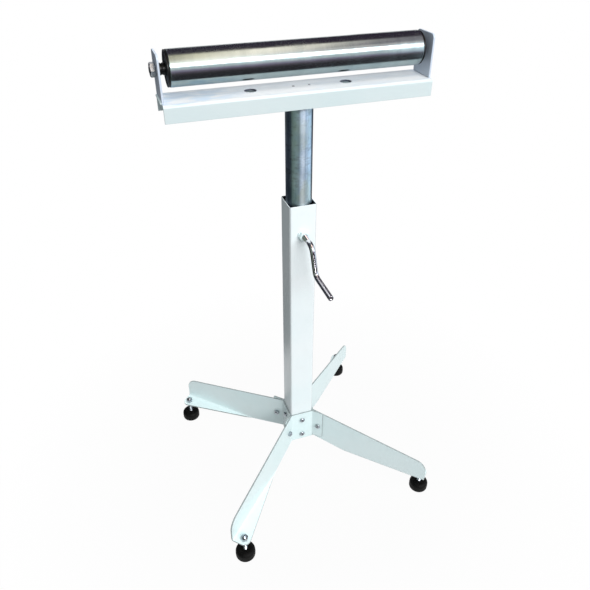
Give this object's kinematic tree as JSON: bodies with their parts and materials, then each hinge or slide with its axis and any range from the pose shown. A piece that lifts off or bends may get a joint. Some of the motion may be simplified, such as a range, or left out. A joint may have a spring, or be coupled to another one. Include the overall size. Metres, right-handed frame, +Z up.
{
  "type": "roller stand",
  "caption": "Free-standing roller stand: folded sheet legs on levelling feet, square column with a crank clamp, sliding post and a bracket with a free-turning roller.",
  "frame": {"origin": "on the floor, under the axis of the column", "axes": "+Z up along the column, X along the roller, -Y towards the clamp handle"},
  "size_m": [0.481, 0.481, 0.9196],
  "materials": {
    "white_paint": "satin powder coat",
    "roller_steel": "bright turned",
    "post_steel": "drawn, bluish zinc",
    "zinc": "zinc plated",
    "bearing_steel": "ground",
    "chrome": "bright plated",
    "black_plastic": "moulded satin",
    "rubber": "matt"
  },
  "bodies": {
    "base": {"column": "white_paint", "clamp_nut": "white_paint", "leg_front_left": "white_paint", "tab_bolt_front_left_lower": "zinc", "tab_bolt_front_left_upper": "zinc", "lap_bolt_front_left": "zinc", "lap_nut_front_left": "zinc", "foot_nut_front_left_upper": "zinc", "foot_nut_front_left_lower": "zinc", "leg_front_right": "white_paint", "tab_bolt_front_right_lower": "zinc", "tab_bolt_front_right_upper": "zinc", "lap_bolt_front_right": "zinc", "lap_nut_front_right": "zinc", "foot_nut_front_right_upper": "zinc", "foot_nut_front_right_lower": "zinc", "leg_rear_right": "white_paint", "tab_bolt_rear_right_lower": "zinc", "tab_bolt_rear_right_upper": "zinc", "lap_bolt_rear_right": "zinc", "lap_nut_rear_right": "zinc", "foot_nut_rear_right_upper": "zinc", "foot_nut_rear_right_lower": "zinc", "leg_rear_left": "white_paint", "tab_bolt_rear_left_lower": "zinc", "tab_bolt_rear_left_upper": "zinc", "lap_bolt_rear_left": "zinc", "lap_nut_rear_left": "zinc", "foot_nut_rear_left_upper": "zinc", "foot_nut_rear_left_lower": "zinc"},
    "foot_front_left": {"foot_pad_front_left": "rubber", "foot_stud_front_left": "zinc"},
    "foot_front_right": {"foot_pad_front_right": "rubber", "foot_stud_front_right": "zinc"},
    "foot_rear_right": {"foot_pad_rear_right": "rubber", "foot_stud_rear_right": "zinc"},
    "foot_rear_left": {"foot_pad_rear_left": "rubber", "foot_stud_rear_left": "zinc"},
    "clamp": {"clamp_handle": "chrome"},
    "post": {"post": "post_steel"},
    "head": {"bracket_channel": "white_paint", "axle": "zinc", "ear_right": "white_paint", "axle_spacer_right": "black_plastic", "bearing_inner_ring_right": "bearing_steel", "axle_nut_right": "zinc", "ear_left": "white_paint", "axle_spacer_left": "black_plastic", "bearing_inner_ring_left": "bearing_steel", "axle_nut_left": "zinc"},
    "roller": {"roller_tube": "roller_steel", "roller_cap_right": "black_plastic", "bearing_outer_ring_right": "bearing_steel", "roller_cap_left": "black_plastic", "bearing_outer_ring_left": "bearing_steel"}
  },
  "joints": [
    {"name": "foot_front_left_level", "type": "slide", "parent": "base", "child": "foot_front_left", "axis": [0, 0, 1], "range_m": [-0.004, 0.015]},
    {"name": "foot_front_right_level", "type": "slide", "parent": "base", "child": "foot_front_right", "axis": [0, 0, 1], "range_m": [-0.004, 0.015]},
    {"name": "foot_rear_right_level", "type": "slide", "parent": "base", "child": "foot_rear_right", "axis": [0, 0, 1], "range_m": [-0.004, 0.015]},
    {"name": "foot_rear_left_level", "type": "slide", "parent": "base", "child": "foot_rear_left", "axis": [0, 0, 1], "range_m": [-0.004, 0.015]},
    {"name": "clamp_turn", "type": "hinge", "parent": "base", "child": "clamp", "pos_m": [0, -0.07, 0.598], "axis": [0, -1, 0], "range_deg": [0, 270]},
    {"name": "post_height", "type": "slide", "parent": "base", "child": "post", "axis": [0, 0, 1], "range_m": [-0.15, 0.2]},
    {"name": "head_swivel", "type": "hinge", "parent": "post", "child": "head", "pos_m": [0, 0, 0.851], "axis": [0, 0, 1], "continuous": true},
    {"name": "roller_spin", "type": "hinge", "parent": "head", "child": "roller", "pos_m": [0, 0, 0.8933], "axis": [1, 0, 0], "continuous": true}
  ]
}
